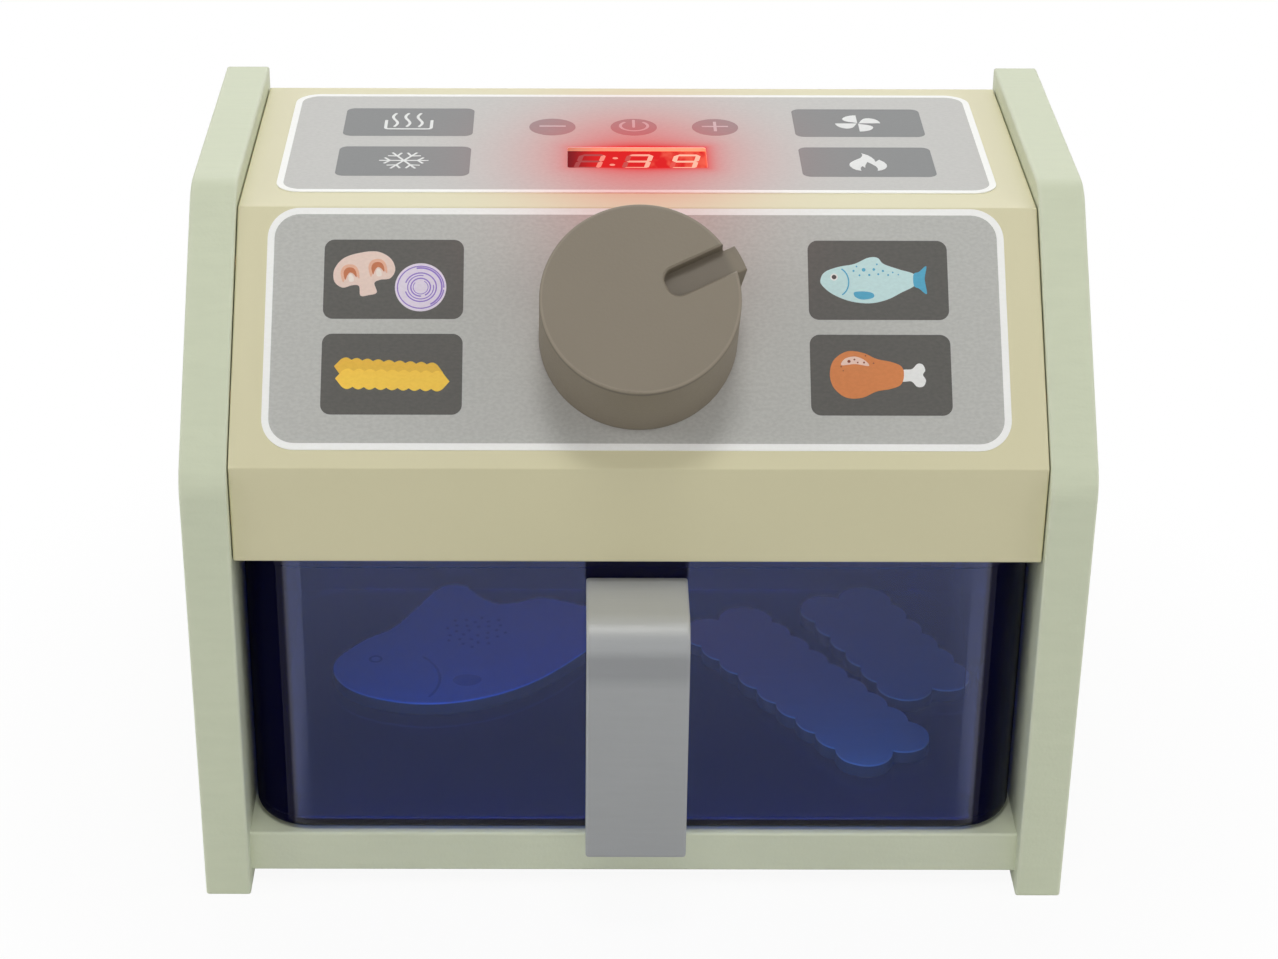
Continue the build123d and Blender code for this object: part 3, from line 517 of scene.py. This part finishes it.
spots = [arc((x, y), size, 0, 330, 12) for x, y, size in
         ((-5.4, 2.6, 0.3), (-3.9, 1.4, 0.26), (-2.8, 2.9, 0.5), (-1.4, 1.5, 0.3), (-0.2, 3.0, 0.36),
          (0.9, 1.7, 0.28), (2.1, 2.6, 0.3), (3.4, 1.5, 0.26), (4.6, 2.2, 0.22), (6.0, 1.6, 0.2),
          (-4.6, 3.8, 0.22), (0.6, 4.4, 0.24))]
picture("fish_picture", 3, (196, 225, 224), [fish_body], *fish_at)
picture("fish_picture_fins", 4, (76, 164, 196), [fish_tail, fish_fin, gill_line] + spots, *fish_at)
picture("fish_picture_eye_white", 4, (236, 236, 232), [arc((-10.4, 0.9), 0.95, 0, 345, 24)], *fish_at)
picture("fish_picture_eye", 5, (62, 50, 50), [arc((-10.4, 0.9), 0.6, 0, 345, 24)], *fish_at)

drumstick_at = (field_x - 0.6, picture_rows[1] - 0.1, 0)
meat = smooth([(-12.3, 0.4), (-11.2, 4.1), (-7.8, 6.4), (-3.8, 6.0), (-0.4, 4.4), (3.2, 3.6), (5.8, 2.4),
               (6.4, 0.2), (5.6, -2.4), (3.0, -3.6), (-0.6, -4.3), (-4.4, -6.0), (-8.4, -5.9),
               (-11.4, -3.3)])
bone = smooth([(5.9, 1.3), (8.4, 1.7), (9.9, 3.1), (11.2, 2.9), (11.8, 1.4), (11.2, 0.2), (11.9, -1.3),
               (11.2, -2.9), (9.6, -3.0), (8.2, -1.6), (5.8, -1.5)])
shine = smooth([(-9.3, 2.7), (-8.4, 4.4), (-5.8, 5.0), (-3.4, 4.0), (-2.4, 2.5), (-5.8, 3.0)])
freckles = [arc((x, y), size, 0, 330, 12) for x, y, size in
            ((-7.4, 3.7, 0.42), (-6.0, 4.2, 0.24), (-5.2, 3.4, 0.22), (-9.4, 2.3, 0.2), (-3.6, 3.4, 0.26),
             (-1.2, 3.2, 0.2), (-8.9, 1.2, 0.16), (-3.2, 5.2, 0.18))]
picture("drumstick_bone", 3, (236, 236, 233), [bone], *drumstick_at)
picture("drumstick_meat", 4, (213, 127, 66), [meat], *drumstick_at)
picture("drumstick_shine", 5, (238, 204, 188), [shine], *drumstick_at)
picture("drumstick_freckles", 6, (138, 62, 34), freckles, *drumstick_at)


# Timer: a translucent red reflector block let into the top board. Its digit bars are lit from
# behind, and the light is strongest towards the right.
reflector = Finish("timer_red", {"Roughness": 0.6, "Specular IOR Level": 0.0, "Emission Strength": 1.0})
rightward = (reflector.x - timer_middle.x) / timer_half.x
patchy = reflector.noise(420, 1, (1, 0.4, 1))
red_face = reflector.mix(rightward.ramp(-1.05, -0.5), srgb(92, 30, 36), srgb(214, 36, 38))
glare = (rightward * 0.5 + patchy - 0.35).ramp(0.3, 0.75)
reflector.paint({"Base Color": srgb(90, 14, 14),
                 "Emission Color": reflector.mix(glare, red_face, srgb(236, 98, 78))})
dress(reflector, "timer_module")


def digit_finish(name, left, right):
    """A translucent bar whose light goes from one tone at the left of the timer to another."""
    bar = Finish(name, {"Roughness": 0.6, "Specular IOR Level": 0.0, "Emission Strength": 1.0})
    across = ((bar.x - timer_middle.x) / timer_half.x).ramp(-0.9, 0.6)
    grain = bar.noise(1600, 1)
    bar.paint({"Base Color": bar.mix(grain, srgb(90, 34, 32), srgb(104, 42, 40)),
               "Emission Color": bar.mix(across, srgb(*left), srgb(*right))})
    return bar


dress(digit_finish("timer_lit", (238, 130, 116), (252, 190, 166)), "timer_lit_bars")
dress(digit_finish("timer_dark", (158, 70, 72), (222, 84, 76)), "timer_dark_bars")


# Keys, switches and circuit: nylon stems under the film, black switches and a green laminate
# board on nylon spacers, with the timer's controller soldered below.
def moulded(name, dark, light, rough, grain_scale=1400, depth=0.012):
    """Moulded plastic: two close tones over broad noise, and a fine spark-eroded grain."""
    plastic = Finish(name, {"Specular IOR Level": 0.45})
    grain = plastic.noise(grain_scale, 2)
    plastic.paint({"Base Color": plastic.mix(plastic.noise(40, 2), srgb(*dark), srgb(*light)),
                   "Roughness": rough + grain * 0.12})
    plastic.relief(grain, depth * mm)
    return plastic


nylon = moulded("white_nylon", (222, 220, 212), (230, 228, 220), 0.4)
dress(nylon, "key_minus", "key_power", "key_plus", "circuit_spacers", "spindle_bush")
dress(moulded("switch_black", (22, 22, 24), (30, 30, 32), 0.4), "tact_switches")
dress(moulded("chip_black", (16, 16, 16), (24, 24, 24), 0.5), "controller_chip")

laminate = Finish("board_green", {"Roughness": 0.32})
weave = laminate.noise(900, 1, (1, 0.2, 1)) * 0.5 + laminate.noise(900, 1, (0.2, 1, 1)) * 0.5
laminate.paint({"Base Color": laminate.mix(weave, srgb(18, 84, 48), srgb(38, 116, 70))})
dress(laminate, "circuit_board")


# Battery box and its door: cream moulded plastic let into the back board, three wrapped cells
# between spring strips and plates, and two red leads up to the circuit board.
housing_plastic = moulded("battery_housing", (206, 201, 168), (212, 207, 175), 0.44, 1100, 0.03)
dress(housing_plastic, "battery_box", "battery_door")

wrap = Finish("cell_wrap", {"Roughness": 0.35, "Metallic": 0.6})
dress(wrap, "battery_cells")
wrap.paint({"Base Color": wrap.mix(wrap.x.ramp(-12 * mm, -11 * mm), srgb(70, 76, 84), srgb(150, 150, 148))})
dress(moulded("wire_insulation", (150, 24, 22), (166, 32, 28), 0.45), "battery_leads")


# Knob and spindle: a deep taupe cap with a radial slot and a pointer, moulded with a soft grain,
# screwed onto a turned steel spindle. Its colour carries a painted highlight at the rim, and painted
# shade just under the rim and in the slot.
knob_joint = next(joint for joint in frame["joints"] if joint["name"] == "knob_turn")
knob_foot = Vector(knob_joint["pos_m"])
knob_height = 27.2 * mm
knob_rim = 24.8 * mm
knob_plastic = Finish("knob_taupe", {"Specular IOR Level": 0.42})
flow = knob_plastic.noise(28, 3)
grain = knob_plastic.noise(1300, 3)
half_root = np.sqrt(0.5)
foot_height = (knob_foot.z - knob_foot.y) * half_root
foot_up_slope = (knob_foot.z + knob_foot.y) * half_root
under_rim = knob_height - ((knob_plastic.z - knob_plastic.y) * half_root - foot_height)
up_slope = (knob_plastic.z + knob_plastic.y) * half_root - foot_up_slope
from_axis = (knob_plastic.x ** 2 + up_slope ** 2) ** 0.5
# Painted highlight at the rim; painted shade just under the rim and in the slot.
rim_highlight = from_axis.ramp(knob_rim - 0.9 * mm, knob_rim - 0.5 * mm) * under_rim.ramp(0.5 * mm, 0.1 * mm)
under_rim_shade = (under_rim.ramp(0.3 * mm, 0.8 * mm) * under_rim.ramp(2.2 * mm, 1.0 * mm)
              * from_axis.ramp(knob_rim - 0.8 * mm, knob_rim - 0.4 * mm))
slot_shade = under_rim.ramp(0.8 * mm, 2.8 * mm) * from_axis.ramp(knob_rim + 1 * mm, knob_rim - 1.5 * mm)
taupe = knob_plastic.mix(flow, srgb(126, 116, 100), srgb(132, 122, 105))
taupe = knob_plastic.mix(slot_shade * 0.7, taupe, srgb(104, 95, 82))
taupe = knob_plastic.mix(rim_highlight * 0.7, taupe, srgb(146, 136, 120))
knob_plastic.paint({"Base Color": knob_plastic.mix(under_rim_shade * 0.85, taupe, srgb(92, 84, 72)),
                    "Roughness": 0.44 + grain * 0.14})
knob_plastic.relief(grain, 0.03 * mm)
dress(knob_plastic, "knob")

turned_steel = Finish("spindle_steel", {"Metallic": 1.0})
rings = turned_steel.noise(2600, 1)
turned_steel.paint({"Base Color": turned_steel.mix(rings, srgb(160, 160, 160), srgb(188, 188, 187)),
                    "Roughness": 0.24 + rings * 0.16})
dress(turned_steel, "knob_spindle")


# Drawer: a polished bin moulded in clear blue plastic, its tint darker in its floor, back, ends and
# foot as painted shade. Lamps shine through it, and less through those darker parts. A near-black
# cover is painted shade for the light lost in its front corners and above the handle, and leaves a bright
# line at the right.
clear_blue = Finish("clear_blue", {"Transmission Weight": 1.0, "IOR": 1.51,
                                   "Specular Tint": (0.8, 0.79, 1.0, 1)})
bin_low, bin_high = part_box("drawer_bin")
behind_front = clear_blue.y - bin_low.y
# Painted shade: the tint is darker in the floor, back, ends and foot, and lets less lamp light through
# there.
in_floor = (clear_blue.z - bin_low.z).ramp(3.6 * mm, 2.8 * mm) * behind_front.ramp(2.5 * mm, 5 * mm)
in_back = clear_blue.y.ramp(bin_high.y - 6 * mm, bin_high.y - 4 * mm)
in_end = abs(clear_blue.x).ramp(bin_high.x - 13 * mm, bin_high.x - 9 * mm)
in_foot = (clear_blue.z - bin_low.z).ramp(2.2 * mm, 1.4 * mm)
depth = (in_floor + in_back + in_end + in_foot).at_most(1)
haze = clear_blue.noise(60, 3)
clear_blue.paint({"Base Color": clear_blue.mix(depth, (0.17, 0.35, 1.0, 1), (0.02, 0.04, 0.4, 1)),
                  "Roughness": 0.02 + haze * 0.03})
stained = clear_blue.node("ShaderNodeBsdfTransparent", {}, {"Color": (0.5, 0.72, 1.0, 1)})
lamp_ray = clear_blue.node("ShaderNodeLightPath", output="Is Shadow Ray")
clear_blue.cover(lamp_ray * (1 - depth), stained)
unlit = clear_blue.node("ShaderNodeBsdfDiffuse", {}, {"Color": (0.0004, 0.0004, 0.02, 1)})
bright_line = (clear_blue.x.ramp(bin_high.x - 9 * mm, bin_high.x - 2.2 * mm)
               * clear_blue.x.ramp(bin_high.x - 1.2 * mm, bin_high.x - 2.2 * mm))
# Painted shade: a near-black cover over the front corners and above the handle.
near_corner = (abs(clear_blue.x).ramp(bin_high.x - 12.4 * mm, bin_high.x - 11.4 * mm)
               * behind_front.ramp(17 * mm, 14 * mm) * (1 - bright_line * 0.85))
handle_low, handle_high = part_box("drawer_handle")
from_handle = abs(clear_blue.x - (handle_low.x + handle_high.x) / 2) - (handle_high.x - handle_low.x) / 2
over_handle = (clear_blue.z - handle_high.z).ramp(-1 * mm, 0) * from_handle.ramp(0.6 * mm, -0.2 * mm)
clear_blue.cover(near_corner.at_least(over_handle * 0.7) * 0.82, unlit)
dress(clear_blue, "drawer_bin")


# Handle: a wooden upside-down L, sanded round and painted satin grey, so brush lines run across it.
# Its colour carries a painted highlight on the arm and a band of painted shade just below the
# bend.
grey_paint = Finish("handle_grey", {"Specular IOR Level": 0.75})
brushed = grey_paint.noise(500, 4, (0.12, 1, 1))
coat = grey_paint.noise(24, 2)
over_grip = grey_paint.z - handle_low.z
# Painted shade just below the bend, and a painted highlight on the arm.
bend_shade = over_grip.ramp(51 * mm, 56 * mm) * over_grip.ramp(63 * mm, 59.5 * mm)
arm_highlight = over_grip.ramp(64.5 * mm, 68.3 * mm)
plain_grey = grey_paint.mix(brushed * 0.5 + coat * 0.5, srgb(158, 160, 161), srgb(170, 172, 173))
arm_highlight_grey = grey_paint.mix(arm_highlight * 0.9, plain_grey, srgb(180, 181, 177))
grey_paint.paint({"Base Color": grey_paint.mix(bend_shade * 0.9, arm_highlight_grey, srgb(147, 149, 151)),
                  "Roughness": 0.34 + brushed * 0.14})
grey_paint.relief(brushed, 0.1 * mm)
dress(grey_paint, "drawer_handle")


# Play food: a fish and two crinkle-cut chips sawn from 4 mm board, painted on top and left raw at
# their edges; the fish has a printed eye, gill, fin and freckles.
def painted_board(name, dark, light, top):
    """Satin paint whose grain shows faintly along x, over raw brown board below the top face."""
    paint = Finish(name, {"Roughness": 0.45, "Specular IOR Level": 0.4})
    grain = paint.noise(520, 3, (0.1, 1, 1))
    raw = paint.mix(grain, srgb(128, 92, 60), srgb(150, 110, 74))
    coated = (paint.z - top).ramp(-0.7 * mm, -0.3 * mm)
    paint.paint({"Base Color": paint.mix(coated, raw, paint.mix(grain, srgb(*dark), srgb(*light)))})
    paint.relief(grain, 0.03 * mm)
    return paint


food_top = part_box("play_fish")[1].z
dress(painted_board("fish_paint", (206, 236, 248), (216, 243, 252), food_top), "play_fish")
dress(painted_board("chip_paint", (246, 232, 186), (252, 239, 196), food_top),
      "play_chip_near", "play_chip_far")

fish_turn = Matrix.Rotation(np.radians(18.9), 4, "Z")
fish_place = Matrix.Translation((-85.2 * mm, 15.0 * mm, food_top)) @ fish_turn
fish_ink = painted_board("fish_ink", (140, 184, 216), (150, 194, 224), food_top)
fish_marks = [band(arc((12, -8), (16.5, 17), -52, 27, 24), 0.8), arc((13.1, 3.3), 2.0, 0, 345, 24),
              arc((13.1, 3.3), 1.3, 0, 345, 24),
              smooth([(31, -15), (34, -13), (38, -14.5), (39, -17.5), (36, -19.5), (32, -18.5)])]
freckle_count = 30
golden_angle = 137.5
for freckle in range(1, freckle_count):
    reach = np.sqrt(freckle / freckle_count)
    around = np.radians(golden_angle * freckle)
    freckle_place = (45 + 10 * reach * np.cos(around), 9 + 9 * reach * np.sin(around))
    fish_marks.append(arc(freckle_place, 0.55, 0, 330, 12))
printed("fish_marks", fish_marks, fish_place, 1, fish_ink, body="fish")


# Studio: a white floor and sky, and soft boxes: one behind, which makes the top brighter than the
# front, one on each side, a broad one in front, which lights the toy but is mirrored nowhere, and
# a small one above the front, which gives the knob its shadow.
floor_mesh = bpy.data.meshes.new("floor")
floor_half = 4.0
floor_mesh.from_pydata([(x, y, 0) for x, y in ((-floor_half, -floor_half), (floor_half, -floor_half),
                                               (floor_half, floor_half), (-floor_half, floor_half))],
                       [], [(0, 1, 2, 3)])
floor = bpy.data.objects.new("floor", floor_mesh)
bpy.context.scene.collection.objects.link(floor)


def seen_directly(nodes, *kinds):
    """1 for the kinds of ray named, 0 for the rest."""
    rays = [nodes.node("ShaderNodeLightPath", output=f"Is {kind} Ray") for kind in kinds]
    return sum(rays[1:], rays[0]).at_most(1)


floor_white = Finish("floor_white", {"Base Color": srgb(227, 227, 227), "Roughness": 0.9})
distance = (floor_white.x ** 2 + floor_white.y ** 2) ** 0.5
# Straight on, the floor is white, but keeps a trace of the toy's shadow. In gloss it is set
# brighter than white beside the toy and ahead of it.
plain_white = floor_white.node("ShaderNodeEmission", {}, {"Color": (1, 1, 1, 1), "Strength": 1.0})
clear_of_toy = distance.ramp(0.12, 0.26) * 0.07 + 0.93
floor_white.cover(seen_directly(floor_white, "Camera", "Transmission") * clear_of_toy, plain_white)
bright_white = floor_white.node("ShaderNodeEmission", {}, {"Color": (1, 1, 1, 1), "Strength": 2.1})
beside = abs(floor_white.x).ramp(0.086, 0.125)
ahead = floor_white.y.ramp(-0.1, -0.25)
floor_white.cover(seen_directly(floor_white, "Glossy") * (beside.at_least(ahead * 0.45) * 0.6),
                  bright_white)
floor_mesh.materials.append(floor_white.material)

world = bpy.data.worlds.new("studio")
world.use_nodes = True
bpy.context.scene.world = world
sky = Nodes(world.node_tree)
sky_fill = 0.223
background = world.node_tree.nodes["Background"]
sky.feed(background.inputs["Color"], (1, 1, 1, 1))
sky.feed(background.inputs["Strength"],
         seen_directly(sky, "Camera", "Glossy", "Transmission") * (1 - sky_fill) + sky_fill)


def soft_box(name, place, size, energy):
    """A rectangular lamp that faces the middle of the toy."""
    light = bpy.data.lights.new(name, "AREA")
    light.shape = "RECTANGLE"
    light.size, light.size_y = size
    light.energy = energy
    lamp = bpy.data.objects.new(name, light)
    bpy.context.scene.collection.objects.link(lamp)
    lamp.location = place
    lamp.rotation_euler = (Vector((0, 0, 0.1)) - lamp.location).to_track_quat("-Z", "Y").to_euler()
    return lamp


soft_box("rear_box", (0, 1.4, 1.0), (1.6, 0.8), 10.2)
soft_box("left_box", (-1.6, -0.4, 0.9), (0.9, 0.9), 7.9)
soft_box("right_box", (1.6, -0.4, 0.9), (0.9, 0.9), 7.9)
front_box = soft_box("front_box", (0, -1.8, 0.72), (1.6, 0.5), 5.0)
front_box.visible_glossy = False
soft_box("key_box", (0, -0.4, 1.33), (0.35, 0.35), 4.1)

# Camera: where the photograph's perspective puts it, with its focal length and framing in pixels.
camera_data = bpy.data.cameras.new("camera")
image_width = 1278
focal_pixels = 2889.57
shift_pixels = (59.0, 3.3)
camera_place = (-16.06 * mm, -699.77 * mm, 461.67 * mm)
yaw, pitch, roll = np.radians((0.125, 27.79, 0.176))
camera_data.sensor_width = 36
camera_data.lens = focal_pixels / image_width * camera_data.sensor_width
camera_data.shift_x, camera_data.shift_y = (pixels / image_width for pixels in shift_pixels)
camera = bpy.data.objects.new("camera", camera_data)
bpy.context.scene.collection.objects.link(camera)
camera.matrix_world = (Matrix.Translation(camera_place)
                       @ Matrix.Rotation(-yaw, 4, "Z") @ Matrix.Rotation(np.pi / 2 - pitch, 4, "X")
                       @ Matrix.Rotation(roll, 4, "Z"))
bpy.context.scene.camera = camera
bpy.context.scene.view_settings.view_transform = "Standard"
